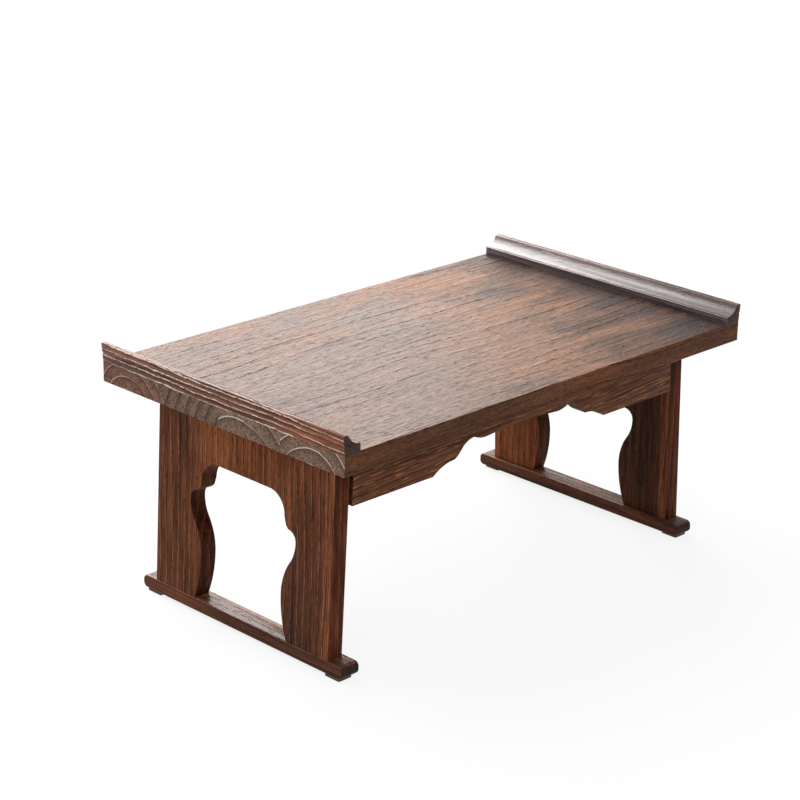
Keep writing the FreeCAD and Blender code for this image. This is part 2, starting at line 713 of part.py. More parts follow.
def check():
    """Stop if any object failed to build or any piece is not a sound solid."""
    for thing in doc.Objects:
        if {"Invalid", "Error"} & set(thing.State):
            raise RuntimeError(f"{thing.Label} failed: {thing.State}")
    for name, thing in nodes.items():
        if thing.Shape.isNull() or not thing.Shape.isValid() or not thing.Shape.Solids:
            raise RuntimeError(f"{name} has no sound solid")


def export():
    """Write each piece to its own file."""
    os.makedirs("parts", exist_ok=True)
    for name, thing in nodes.items():
        thing.Shape.exportStep(f"parts/{name}.step")


build()
doc.recompute()
check()
export()
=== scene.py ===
"""A low tea table with raised ends and folding legs, dressed in dark brushed and lacquered wood."""

import logging
import math
from dataclasses import dataclass, replace
from enum import Enum
from typing import Any, Union

import bmesh
import bpy
from mathutils import Matrix, Vector

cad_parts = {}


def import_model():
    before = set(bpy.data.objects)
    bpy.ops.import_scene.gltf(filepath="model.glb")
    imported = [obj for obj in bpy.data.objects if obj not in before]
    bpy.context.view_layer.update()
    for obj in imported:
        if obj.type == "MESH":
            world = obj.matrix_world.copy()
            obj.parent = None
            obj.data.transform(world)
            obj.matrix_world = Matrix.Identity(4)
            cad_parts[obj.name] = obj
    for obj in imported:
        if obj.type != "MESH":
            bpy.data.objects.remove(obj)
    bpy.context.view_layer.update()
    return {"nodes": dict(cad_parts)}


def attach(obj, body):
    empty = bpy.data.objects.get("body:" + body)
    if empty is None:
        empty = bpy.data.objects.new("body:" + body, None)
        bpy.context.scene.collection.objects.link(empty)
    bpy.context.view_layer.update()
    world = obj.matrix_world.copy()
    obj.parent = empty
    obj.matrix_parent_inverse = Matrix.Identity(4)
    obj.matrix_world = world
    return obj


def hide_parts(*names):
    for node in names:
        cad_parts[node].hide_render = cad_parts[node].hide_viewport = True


LOG = logging.getLogger("tea_table")

Colour = tuple[float, float, float]
Socket = bpy.types.NodeSocket
Feed = Union[float, tuple, Socket]

# The camera's film and reach, the picture that its lens was measured on, and the stage's colours
IMAGE_WIDTH = 800.0
SENSOR_WIDTH = 36.0
CLIP_END = 60.0
FLOOR_PAINT = (0.93, 0.93, 0.93)
WHITE = (1.0, 1.0, 1.0)

# Stretches of the noises: lumps in a metre along the grain and, twice, across it
SWAY_STRETCH = (5.0, 11.0, 11.0)
SHAKE_STRETCH = (45.0, 90.0, 90.0)
DRIFT_STRETCH = (1.5, 14.0, 14.0)
DASH_STRETCH = (165.0, 330.0, 330.0)
BREAK_STRETCH = (12.0, 90.0, 90.0)
QUIET_STRETCH = (4.0, 17.0, 17.0)
FLECK_STRETCH = (300.0, 520.0, 520.0)
STREAK_STRETCH = (8.0, 210.0, 210.0)
BAND_STRETCH = (2.6, 21.0, 21.0)
FIBRE_STRETCH = (30.0, 800.0, 800.0)
WRINKLE_STRETCH = (190.0, 400.0, 400.0)
CLOUD_STRETCH = (6.0, 19.0, 19.0)
GLOOM_STRETCH = (4.0, 26.0, 26.0)
WARM_STRETCH = (3.6, 12.0, 12.0)
SPECK_STRETCH = (700.0, 1900.0, 1900.0)
BEND_STRETCH = (9.0, 4.0, 4.0)
PLAIN_STRETCH = (70.0, 70.0, 70.0)
NOISE_MIDDLE = (0.5, 0.5, 0.5)
SEED_SHIFT = (1.7, 0.9, 1.3)

# Shares and spans that all woods have in common
ROW_DRIFT = 1.2
SWELL_SPAN = (-0.05, 0.15)
SMOKE_THICKEST = 0.24
SMOKE_NONE = (2.0, 3.0, 2.0, 3.0)
STAIN_AND_SHADE_DEPTH = 0.9
SIDE_FADE = 0.75
# Painted shade: the tint that darkens side faces, by the way they face the light
PAINTED_SHADE_TINT = (0.50, 0.42, 0.385)
SIDE_FACING = (0.5, 0.85)
END_FACING = (0.55, 0.8)
END_SHADE = 0.28
END_SHINE = 1.75
END_SPECKS = 0.75
END_RINGS = 0.6
LEVEL_REACH = 0.12
LEVEL_SWAY = 0.012
# Pale colour of eased edges: partly wear, partly painted highlight where light catches the edge
WEAR_AND_HIGHLIGHT_TONE = (0.40, 0.26, 0.19)
RELIEF_SHARES = {"Groove": -0.9, "Ridge": 0.4, "Pore": -0.5, "Fibre": 0.2}
HOLLOW_ROUGHNESS = 0.22
STREAK_ROUGHNESS = 0.1
BURNT_DULL = 0.5

# Angles and lengths of the eased and pressed forms
WELD = 1e-6
FLAT_ANGLE = math.radians(0.4)
HARD_ANGLE = math.radians(40.0)
SMOOTH_ANGLE = math.radians(32.0)
BRIM_ANGLE = math.radians(60.0)
WOOD_EASE = 0.0006
MOULDING_EASE = 0.0004
RAIL_EASE = 0.0005
BAR_EASE = 0.0008
LEAF_EASE = 0.0002
PAD_CORNER = 0.0016
PAD_RIM = 0.0020
PAD_DEPTH = 0.0008

# Material slots: eased edges on every piece, and the further faces of a moulding
EDGE_SLOT = 1
HOLLOW_SLOT = 2
LIP_SLOT = 3
# The rounded top edge of the lip takes a painted highlight
ARRIS_HIGHLIGHT_SLOT = 4

# How far eased edges go pale, partly as wear and partly as painted highlight, how far out mouldings and bars
# stand, and where a moulding's lip ends
WOOD_WEAR_AND_HIGHLIGHT = 0.12
MOULDING_WEAR_AND_HIGHLIGHT = 0.45
BAR_WEAR_AND_HIGHLIGHT = 0.5
MOULDING_OUT = 0.245
BAR_OUT = 0.217
LIP_TOP = 0.2205
LIP_BAND = 0.0007


class Way(Enum):
    """The direction in which a piece's grain runs, as the turn that lays it along X."""

    LENGTH = (0.0, 0.0, 0.0)
    DEPTH = (0.0, 0.0, -math.pi / 2)
    UPRIGHT = (0.0, math.pi / 2, 0.0)


class Side(Enum):
    """The two ends of the table along X."""

    LEFT = "left"
    RIGHT = "right"


class End(Enum):
    """The two long sides of the table along Y."""

    FRONT = "front"
    BACK = "back"


class Graph:
    """A thin hand on a node tree that keeps the shader code short."""

    def __init__(self, tree: bpy.types.NodeTree) -> None:
        """Hold a tree.

        Args:
            tree: The node tree to work in.
        """
        self.tree = tree

    def add(self, kind: str, *terms: Feed, **settings: Any) -> bpy.types.Node:
        """Add a node.

        Args:
            kind: The node's type name.
            terms: What its first inputs are given, in order.
            settings: Properties to set on the node.

        Returns:
            The new node.
        """
        node = self.tree.nodes.new(kind)
        for name, setting in settings.items():
            setattr(node, name, setting)
        for socket, term in zip(node.inputs, terms):
            self.feed(socket, term)
        return node

    def feed(self, socket: Socket, source: Feed) -> None:
        """Link a socket into an input, or set the input's own value.

        Args:
            socket: The input.
            source: A socket, a number or a tuple.
        """
        if isinstance(source, Socket):
            self.tree.links.new(source, socket)
        elif isinstance(source, tuple) and socket.type == "RGBA":
            socket.default_value = (*source[:3], 1.0)
        else:
            socket.default_value = source

    def math(self, operation: str, *terms: Feed) -> Socket:
        """The result of an operation on plain values."""
        return self.add("ShaderNodeMath", *terms, operation=operation).outputs[0]

    def vector(self, operation: str, *terms: Feed) -> Socket:
        """The result of an operation on vectors."""
        return self.add("ShaderNodeVectorMath", *terms, operation=operation).outputs["Vector"]

    def scaled(self, source: Feed, share: Feed) -> Socket:
        """A vector made longer or shorter.

        Args:
            source: The vector.
            share: Its scale.

        Returns:
            The scaled vector.
        """
        result = self.vector("SCALE", source)
        self.feed(result.node.inputs["Scale"], share)
        return result

    def split(self, source: Feed) -> tuple[Socket, ...]:
        """The X, Y and Z of a vector."""
        return tuple(self.add("ShaderNodeSeparateXYZ", source).outputs)

    def step(self, source: Feed, low: Feed, high: Feed, start: Feed = 0.0, end: Feed = 1.0) -> Socket:
        """A smooth step between two levels.

        Args:
            source: The value.
            low: Where the step starts.
            high: Where it ends.
            start: The result below the step.
            end: The result above it.

        Returns:
            The stepped value.
        """
        node = self.add("ShaderNodeMapRange", source, low, high, start, end, interpolation_type="SMOOTHSTEP")
        return node.outputs[0]

    def noise(self, place: Feed, stretch: Feed, detail: float = 2.0, rough: float = 0.5,
              warp: float = 0.0) -> bpy.types.Node:
        """Noise with its own number of lumps in a metre along each axis.

        Args:
            place: The point.
            stretch: Lumps in a metre along X, Y and Z.
            detail: Layers of finer noise.
            rough: The weight of the finer layers.
            warp: How far the noise bends itself.

        Returns:
            The noise node.
        """
        node = self.add("ShaderNodeTexNoise")
        self.feed(node.inputs["Vector"], self.vector("MULTIPLY", place, stretch))
        self.feed(node.inputs["Scale"], 1.0)
        self.feed(node.inputs["Detail"], detail)
        self.feed(node.inputs["Roughness"], rough)
        self.feed(node.inputs["Distortion"], warp)
        return node

    def lumps(self, *settings: Any) -> Socket:
        """The plain value of a noise that has these settings."""
        return self.noise(*settings).outputs["Fac"]

    def mix(self, share: Feed, first: Feed, second: Feed, blend: str = "MIX") -> Socket:
        """A mix of two colours.

        Args:
            share: How much of the second.
            first: The first colour.
            second: The second colour.
            blend: The way they blend.

        Returns:
            The mixed colour.
        """
        node = self.add("ShaderNodeMix", data_type="RGBA", blend_type=blend)
        self.feed(node.inputs[0], share)
        self.feed(node.inputs[6], first)
        self.feed(node.inputs[7], second)
        return node.outputs[2]

    def seen(self) -> Socket:
        """Tell rays that look at a surface from rays that light it.

        Returns:
            One for camera rays and for rays that are mirrored or pass through.
        """
        path = self.add("ShaderNodeLightPath").outputs
        direct = self.math("MAXIMUM", path["Is Camera Ray"], path["Is Glossy Ray"])
        return self.math("MAXIMUM", direct, path["Is Transmission Ray"])

    def group(self, tree: bpy.types.NodeTree, **feeds: Feed) -> bpy.types.Node:
        """Place a node group.

        Args:
            tree: The group.
            feeds: Its inputs, with underscores for blanks.

        Returns:
            The group node.
        """
        node = self.add("ShaderNodeGroup")
        node.node_tree = tree
        for name, source in feeds.items():
            self.feed(node.inputs[name.replace("_", " ")], source)
        return node


def blank_material(name: str) -> tuple[bpy.types.Material, Graph]:
    """Start a material without nodes.

    Args:
        name: The material's name.

    Returns:
        The material and a hand on its node tree.
    """
    material = bpy.data.materials.new(name)
    material.use_nodes = True
    material.node_tree.nodes.clear()
    return material, Graph(material.node_tree)


class GroupMaker:
    """Starts a shader node group with named inputs and outputs."""

    def __init__(self, name: str, inputs: dict[str, str], outputs: dict[str, str]) -> None:
        """Make the empty group.

        Args:
            name: The group's name.
            inputs: Input names and their socket types.
            outputs: Output names and their socket types.
        """
        self.tree = bpy.data.node_groups.new(name, "ShaderNodeTree")
        for label, kind in inputs.items():
            self.tree.interface.new_socket(label, in_out="INPUT", socket_type=kind)
        for label, kind in outputs.items():
            self.tree.interface.new_socket(label, in_out="OUTPUT", socket_type=kind)
        self.graph = Graph(self.tree)
        self.given = self.graph.add("NodeGroupInput").outputs
        self.result = self.graph.add("NodeGroupOutput").inputs


class Timber:
    """The shared grain: rings around a pith, bands, streaks, fibres, pores and brushed wrinkles."""

    def __init__(self) -> None:
        """Build the node group once; the grain runs along X of the vector that it is given."""
        number, place = "NodeSocketFloat", "NodeSocketVector"
        names = ("Turn", "Line", "Groove", "Ridge", "Shade", "Band", "Streak", "Fibre", "Pore", "Wrinkle")
        maker = GroupMaker(
            "timber_grain",
            {"Vector": place, "Pith": place, "Ring Gap": number, "Line Width": number, "Row Gap": number,
             "Row Width": number, "Waver": number, "Shake": number, "Pore Rows": number, "Pore Run": number,
             "Seed": number},
            {name: number for name in names},
        )
        g, given = maker.graph, maker.given
        moved = g.vector("ADD", given["Vector"], g.scaled(SEED_SHIFT, given["Seed"]))
        sway = g.vector("SUBTRACT", g.noise(moved, SWAY_STRETCH, 1.0).outputs["Color"], NOISE_MIDDLE)
        shake = g.vector("SUBTRACT", g.noise(moved, SHAKE_STRETCH, 5.0, 0.62).outputs["Color"], NOISE_MIDDLE)
        swing = g.vector("ADD", g.scaled(sway, given["Waver"]), g.scaled(shake, given["Shake"]))
        from_pith = g.vector("ADD", g.vector("SUBTRACT", given["Vector"], given["Pith"]), swing)
        _, across, up = g.split(from_pith)
        radius = g.math("SQRT", g.math("ADD", g.math("POWER", across, 2.0), g.math("POWER", up, 2.0)))
        turn = g.math("FRACT", g.math("DIVIDE", radius, given["Ring Gap"]))
        gone = g.math("DIVIDE", g.math("SUBTRACT", 1.0, turn), given["Line Width"])
        line = g.math("MULTIPLY", g.step(gone, 0.0, 0.25), g.step(gone, 0.6, 1.0, 1.0, 0.0))
        _, beside, above = g.split(g.vector("ADD", given["Vector"], swing))
        drift = g.math("MULTIPLY", g.lumps(moved, DRIFT_STRETCH, 1.0), ROW_DRIFT)
        rows = g.math("DIVIDE", g.math("ADD", beside, above), given["Row Gap"])
        row = g.math("FRACT", g.math("ADD", rows, drift))
        left = g.math("DIVIDE", g.math("SUBTRACT", 1.0, row), given["Row Width"])
        dash = g.step(g.lumps(moved, DASH_STRETCH, 1.0), 0.42, 0.52, 0.35, 1.0)
        broken = g.step(g.lumps(moved, BREAK_STRETCH, 2.0), 0.34, 0.54, 0.22, 1.0)
        quiet = g.step(g.lumps(moved, QUIET_STRETCH, 2.0), 0.38, 0.60, 0.2, 1.0)
        groove = g.step(left, 0.55, 1.0, 1.0, 0.0)
        for gap in (dash, broken, quiet):
            groove = g.math("MULTIPLY", groove, gap)
        fleck = g.step(g.lumps(moved, FLECK_STRETCH, 2.0), 0.36, 0.56, 0.3, 1.0)
        # The ridges of the grain: raised in the relief, and painted pale in the colour as a highlight
        ridge_highlight = g.step(g.math("DIVIDE", row, given["Row Width"]), 0.7, 1.2, 1.0, 0.0)
        for gap in (broken, fleck):
            ridge_highlight = g.math("MULTIPLY", ridge_highlight, gap)
        pores = g.add("ShaderNodeCombineXYZ", given["Pore Run"], given["Pore Rows"], given["Pore Rows"])
        levels = {"Turn": turn, "Line": line, "Groove": groove, "Ridge": ridge_highlight,
                  "Shade": g.step(row, 0.2, 1.0),
                  "Band": g.step(g.lumps(moved, BAND_STRETCH, 3.0), 0.32, 0.68),
                  "Streak": g.step(g.lumps(moved, STREAK_STRETCH, 3.0, 0.65), 0.35, 0.65),
                  "Fibre": g.step(g.lumps(moved, FIBRE_STRETCH, 2.0), 0.3, 0.7),
                  "Pore": g.step(g.lumps(moved, pores.outputs[0], 1.0), 0.61, 0.69),
                  "Wrinkle": g.lumps(moved, WRINKLE_STRETCH, 3.0, 0.55, 0.6)}
        for name, level in levels.items():
            g.feed(maker.result[name], level)
        self.tree = maker.tree


class Smoke:
    """The shared burnt look: dark patches that thicken along the piece, and a darker band at its end, partly
    staining and partly painted shade where it meets a moulding.
    """

    def __init__(self) -> None:
        """Build the node group once."""
        number, place = "NodeSocketFloat", "NodeSocketVector"
        maker = GroupMaker(
            "smoke_patches",
            {"Vector": place, "Thin At": number, "Thick At": number, "Stain From": number,
             "Stain To": number},
            {"Mask": number, "Stain": number},
        )
        g, given = maker.graph, maker.given
        cloud = g.lumps(given["Vector"], CLOUD_STRETCH, 4.0, 0.6, 0.4)
        along, _, _ = g.split(given["Vector"])
        thick = g.step(along, given["Thin At"], given["Thick At"], 0.0, SMOKE_THICKEST)
        patch = g.step(g.math("ADD", cloud, thick), 0.60, 0.77)
        # The darker band at the end: partly staining, partly painted shade at the foot of a moulding
        stain_and_shade = g.step(along, given["Stain From"], given["Stain To"])
        g.feed(maker.result["Mask"], patch)
        g.feed(maker.result["Stain"], g.math("MULTIPLY", stain_and_shade, g.step(cloud, 0.3, 0.6, 0.55, 1.0)))
        self.tree = maker.tree


@dataclass(frozen=True)
class WoodTones:
    """The colours of one wood: its field, its thin lines, the painted highlight along its ridges, its pores
    and its cut ends.
    """

    dark: Colour
    mid: Colour
    light: Colour
    glow: Colour
    ridge_highlight: Colour
    groove: Colour
    pore: Colour
    end: Colour = (0.040, 0.019, 0.013)
    end_line: Colour = (0.055, 0.030, 0.022)
    smoke: Colour = (0.040, 0.018, 0.011)
    # Colour of the darker band at a piece's end, partly staining and partly painted shade
    stain_and_shade: Colour = (0.046, 0.034, 0.034)

    def paler(self, share: float) -> "WoodTones":
        """The same wood on an eased edge, paler with wear and with painted highlight.

        Args:
            share: How far the tones go towards the pale edge colour.

        Returns:
            The paler edge tones.
        """
        shifted = {}
        for name in ("dark", "mid", "light", "glow", "ridge_highlight", "end"):
            pairs = zip(getattr(self, name), WEAR_AND_HIGHLIGHT_TONE)
            shifted[name] = tuple(own + (worn_and_lit - own) * share for own, worn_and_lit in pairs)
        return replace(self, **shifted)


@dataclass(frozen=True)
class WoodFinish:
    """One wood finish: its tones, the run of its grain, its relief and its gloss."""

    name: str
    tones: WoodTones
    way: Way
    pith: tuple = (0.0, 0.0, -0.08)
    tilt: float = 0.0
    ring_gap: float = 0.011
    line_width: float = 0.08
    row_gap: float = 0.012
    row_width: float = 0.08
    row_swell: float = 0.0
    waver: float = 0.012
    shake: float = 0.0012
    pore_rows: float = 1350.0
    pore_run: float = 95.0
    seed: float = 0.0
    streak_depth: float = 1.0
    shade_depth: float = 0.35
    groove_depth: float = 0.85
    ridge_highlight_depth: float = 0.0
    pore_depth: float = 0.7
    glow_share: float = 0.6
    glow_span: tuple = (-3.0, -2.0)
    glow_floor: float = 0.0
    glow_rise: tuple = (0.0, 0.1)
    glow_dull: float = 0.0
    gloom: float = 0.5
    # Share of the painted shade on the side faces
    painted_side_shade: float = 0.0
    across_levels: tuple = ()
    smoke_span: tuple = SMOKE_NONE
    roughness: float = 0.4
    specular: float = 0.12
    coat: float = 0.0
    coat_roughness: float = 0.2
    coat_ior: float = 1.5
    relief: float = 0.0005
    wrinkle: float = 0.8
    brushed: float = 0.0

    def warmth(self, g: Graph, place: Socket, grain: Any) -> Socket:
        """Where the wood glows warm.

        Args:
            g: The material's graph.
            place: The point, with the grain laid along X.
            grain: The grain group's outputs.

        Returns:
            The mask of the warm patches.
        """
        warm = g.step(g.lumps(place, WARM_STRETCH, 3.0), 0.42, 0.66)
        along, _, _ = g.split(place)
        warm = g.math("MAXIMUM", warm, g.step(along, *self.glow_rise, 0.0, self.glow_floor))
        warm = g.math("MULTIPLY", warm, g.step(grain["Streak"], 0.1, 0.9, 0.55, 1.0))
        warm = g.math("MULTIPLY", warm, g.step(along, *self.glow_span, 0.3, 1.0))
        return g.math("MULTIPLY", warm, self.glow_share)

    def field_tone(self, g: Graph, place: Socket, grain: Any, smoke: Any, warm: Feed,
                   shaded_sides: Feed) -> Socket:
        """The colour of the long faces.

        Args:
            g: The material's graph.
            place: The point, with the grain laid along X.
            grain: The grain group's outputs.
            smoke: The smoke group's outputs.
            warm: The mask of the warm patches.
            shaded_sides: The mask of the side faces, which get painted shade.

        Returns:
            The colour.
        """
        tones = self.tones
        streak = g.math("MULTIPLY", grain["Streak"], self.streak_depth)
        tone = g.mix(g.math("ADD", streak, 0.5 - 0.5 * self.streak_depth), tones.dark, tones.mid)
        tone = g.mix(g.math("MULTIPLY", grain["Band"], grain["Fibre"]), tone, tones.light)
        gloom = g.step(g.lumps(place, GLOOM_STRETCH, 3.0, 0.6), 0.50, 0.68, 0.0, self.gloom)
        tone = g.mix(gloom, tone, tones.dark)
        tone = g.mix(warm, tone, tones.glow)
        tone = g.mix(g.math("MULTIPLY", grain["Shade"], self.shade_depth), tone, tones.dark)
        broad = g.math("SUBTRACT", 1.0, g.math("MULTIPLY", shaded_sides, SIDE_FADE))
        smoked = g.math("MULTIPLY", smoke["Mask"], g.step(grain["Streak"], 0.0, 1.0, 0.92, 0.55))
        tone = g.mix(g.math("MULTIPLY", smoked, broad), tone, tones.smoke)
        # The darker band at the end: partly staining, partly painted shade at the foot of a moulding
        stained_and_shaded = g.math("MULTIPLY", smoke["Stain"], STAIN_AND_SHADE_DEPTH)
        tone = g.mix(g.math("MULTIPLY", stained_and_shaded, broad), tone, tones.stain_and_shade)
        # Painted light and shade of the brushed relief: the colour is lighter on the wrinkles' crests and
        # darker in their troughs
        if self.brushed > 0.0:
            relief = g.step(grain["Wrinkle"], 0.36, 0.64, 1.0 - self.brushed, 1.0 + self.brushed)
            tone = g.mix(1.0, tone, relief, "MULTIPLY")
        # Painted highlight: a pale line along the raised ridges of the grain, as light catching them
        tone = g.mix(g.math("MULTIPLY", grain["Ridge"], self.ridge_highlight_depth), tone, tones.ridge_highlight)
        cut = g.math("MULTIPLY", grain["Groove"], self.groove_depth)
        tone = g.mix(g.math("MULTIPLY", cut, broad), tone, tones.groove)
        return g.mix(g.math("MULTIPLY", grain["Pore"], self.pore_depth), tone, tones.pore)

    def across_tone(self, g: Graph, place: Socket, tone: Socket) -> Socket:
        """Make a panel lighter or darker across its width, by the listed levels; on the legs the first level
        lifts the front edge back out of the painted side shade.

        Args:
            g: The material's graph.
            place: The point, with the grain laid along X.
            tone: The colour so far.

        Returns:
            The colour.
        """
        if not self.across_levels:
            return tone
        _, across, _ = g.split(place)
        bend = g.math("MULTIPLY", g.lumps(place, BEND_STRETCH, 2.0), LEVEL_SWAY)
        ramp = g.add("ShaderNodeValToRGB")
        g.feed(ramp.inputs[0], g.step(g.math("ADD", across, bend), -LEVEL_REACH, LEVEL_REACH))
        while len(ramp.color_ramp.elements) < len(self.across_levels):
            ramp.color_ramp.elements.new(1.0)
        for stop, (spot, level) in zip(ramp.color_ramp.elements, self.across_levels):
            stop.position = spot
            stop.color = (level, level, level, 1.0)
        return g.mix(1.0, tone, ramp.outputs[0], "MULTIPLY")

    def end_tone(self, g: Graph, place: Socket, grain: Any) -> Socket:
        """The colour of the cut ends; on some planks their ring lines are a painted highlight.

        Args:
            g: The material's graph.
            place: The point, with the grain laid along X.
            grain: The grain group's outputs.

        Returns:
            The colour.
        """
        shade = tuple(c * END_SHADE for c in self.tones.end)
        shine = tuple(c * END_SHINE for c in self.tones.end)
        specks = g.lumps(place, SPECK_STRETCH, 2.0, 0.6)
        fibres = g.math("MULTIPLY", grain["Fibre"], 1.0 - END_SPECKS)
        lumps = g.math("ADD", g.math("MULTIPLY", specks, END_SPECKS), fibres)
        cut = g.mix(g.step(lumps, 0.30, 0.70), shade, shine)
        cut = g.mix(g.math("MULTIPLY", g.step(grain["Turn"], 0.4, 0.95), END_RINGS), cut, shade)
        broken = g.math("MULTIPLY", grain["Line"], g.step(grain["Band"], 0.1, 0.5, 0.3, 1.0))
        return g.mix(broken, cut, self.tones.end_line)

    def bump(self, g: Graph, grain: Any) -> Socket:
        """The normal of the brushed and grooved surface.

        Args:
            g: The material's graph.
            grain: The grain group's outputs.

        Returns:
            The bent normal.
        """
        height = g.math("MULTIPLY", grain["Wrinkle"], self.wrinkle)
        for part, share in RELIEF_SHARES.items():
            height = g.math("ADD", height, g.math("MULTIPLY", grain[part], share))
        bump = g.add("ShaderNodeBump")
        bump.inputs["Strength"].default_value = 1.0
        bump.inputs["Distance"].default_value = self.relief
        g.feed(bump.inputs["Height"], height)
        return bump.outputs[0]

    def lacquer(self, g: Graph, hollow: Socket, smoke: Any, warm: Socket, bare: Socket) -> Socket:
        """How much lacquer lies on the wood.

        Args:
            g: The material's graph.
            hollow: The mask of pores and grooves, which stay open.
            smoke: The smoke group's outputs.
            warm: The mask of the warm patches.
            bare: The mask of the faces without lacquer.

        Returns:
            The weight of the lacquer.
        """
        shut = g.math("MULTIPLY", g.math("MINIMUM", hollow, 1.0), self.groove_depth)
        dulled = g.math("MULTIPLY", g.math("MAXIMUM", smoke["Mask"], smoke["Stain"]), BURNT_DULL)
        dulled = g.math("MAXIMUM", dulled, g.math("MULTIPLY", warm, self.glow_dull))
        closed = g.math("SUBTRACT", 1.0, g.math("MAXIMUM", shut, dulled))
        closed = g.math("MULTIPLY", closed, g.math("SUBTRACT", 1.0, bare))
        return g.math("MULTIPLY", closed, self.coat)

    def material(self, timber: Timber, smoke: Smoke) -> bpy.types.Material:
        """Build the material.

        Args:
            timber: The shared grain.
            smoke: The shared burnt look.

        Returns:
            The finished material.
        """
        material, g = blank_material(self.name)
        where = g.add("ShaderNodeTexCoord")
        turn = (self.way.value[0], self.way.value[1] + self.tilt, self.way.value[2])
        lay = g.add("ShaderNodeMapping")
        lay.inputs["Rotation"].default_value = turn
        g.feed(lay.inputs["Vector"], where.outputs["Object"])
        face = g.add("ShaderNodeMapping", vector_type="NORMAL")
        face.inputs["Rotation"].default_value = turn
        g.feed(face.inputs["Vector"], where.outputs["Normal"])
        place = lay.outputs[0]
        row_width = g.step(g.split(place)[0], *SWELL_SPAN, self.row_width, self.row_width + self.row_swell)
        grain = g.group(timber.tree, Vector=place, Pith=self.pith, Ring_Gap=self.ring_gap,
                        Line_Width=self.line_width, Row_Gap=self.row_gap, Row_Width=row_width,
                        Waver=self.waver, Shake=self.shake, Pore_Rows=self.pore_rows, Pore_Run=self.pore_run,
                        Seed=self.seed).outputs
        thin, thick, stain_shade_from, stain_shade_to = self.smoke_span
        burnt = g.group(smoke.tree, Vector=place, Thin_At=thin, Thick_At=thick, Stain_From=stain_shade_from,
                        Stain_To=stain_shade_to).outputs
        along, aside, _ = g.split(face.outputs[0])
        end = g.step(g.math("ABSOLUTE", along), *END_FACING)
        side = g.step(g.math("ABSOLUTE", aside), *SIDE_FACING)
        # Painted shade: side faces are multiplied by a dark tint, by the way they face the light
        shaded_sides = g.math("MULTIPLY", side, self.painted_side_shade)
        warm = self.warmth(g, place, grain)
        tone = self.across_tone(g, place, self.field_tone(g, place, grain, burnt, warm, shaded_sides))
        tone = g.mix(shaded_sides, tone, PAINTED_SHADE_TINT, "MULTIPLY")
        tone = g.mix(end, tone, self.end_tone(g, place, grain))
        shader = g.add("ShaderNodeBsdfPrincipled")
        g.feed(shader.inputs["Base Color"], tone)
        polish = g.math("MULTIPLY", grain["Streak"], -STREAK_ROUGHNESS * self.streak_depth)
        rough = g.math("ADD", polish, self.roughness + STREAK_ROUGHNESS / 2)
        hollow = g.math("MAXIMUM", grain["Pore"], g.math("MULTIPLY", grain["Groove"], 2.0))
        g.feed(shader.inputs["Roughness"], g.math("ADD", rough, g.math("MULTIPLY", hollow, HOLLOW_ROUGHNESS)))
        shader.inputs["Specular IOR Level"].default_value = self.specular
        if self.coat > 0.0:
            bare = g.math("MAXIMUM", side, end)
            g.feed(shader.inputs["Coat Weight"], self.lacquer(g, hollow, burnt, warm, bare))
        shader.inputs["Coat Roughness"].default_value = self.coat_roughness
        shader.inputs["Coat IOR"].default_value = self.coat_ior
        g.feed(shader.inputs["Normal"], self.bump(g, grain))
        g.add("ShaderNodeOutputMaterial", shader.outputs[0])
        return material

    def worn_and_lit(self, share: float) -> "WoodFinish":
        """The finish of this wood's eased edges, paler with wear and with painted highlight.

        Args:
            share: How far the tones go towards the pale edge colour.

        Returns:
            The finish.
        """
        return replace(self, name=f"{self.name}_edge", tones=self.tones.paler(share))


@dataclass(frozen=True)
class PlainFinish:
    """A metal or rubber finish with a fine broken surface."""

    name: str
    tone: Colour
    shade: Colour
    roughness: float
    metallic: float
    grit: float
    relief: float

    def material(self) -> bpy.types.Material:
        """Build the material.

        Returns:
            The finished material.
        """
        material, g = blank_material(self.name)
        where = g.add("ShaderNodeTexCoord").outputs["Object"]
        specks = g.lumps(where, (self.grit, self.grit, self.grit), 4.0, 0.6)
        cloud = g.step(g.lumps(where, PLAIN_STRETCH, 3.0), 0.35, 0.65)
        bump = g.add("ShaderNodeBump")
        bump.inputs["Distance"].default_value = self.relief
        g.feed(bump.inputs["Height"], specks)
        shader = g.add("ShaderNodeBsdfPrincipled")
        g.feed(shader.inputs["Base Color"], g.mix(cloud, self.tone, self.shade))
        rough = g.step(specks, 0.3, 0.7, self.roughness - 0.08, self.roughness + 0.08)
        g.feed(shader.inputs["Roughness"], rough)
        shader.inputs["Metallic"].default_value = self.metallic
        g.feed(shader.inputs["Normal"], bump.outputs[0])
        g.add("ShaderNodeOutputMaterial", shader.outputs[0])
        return material


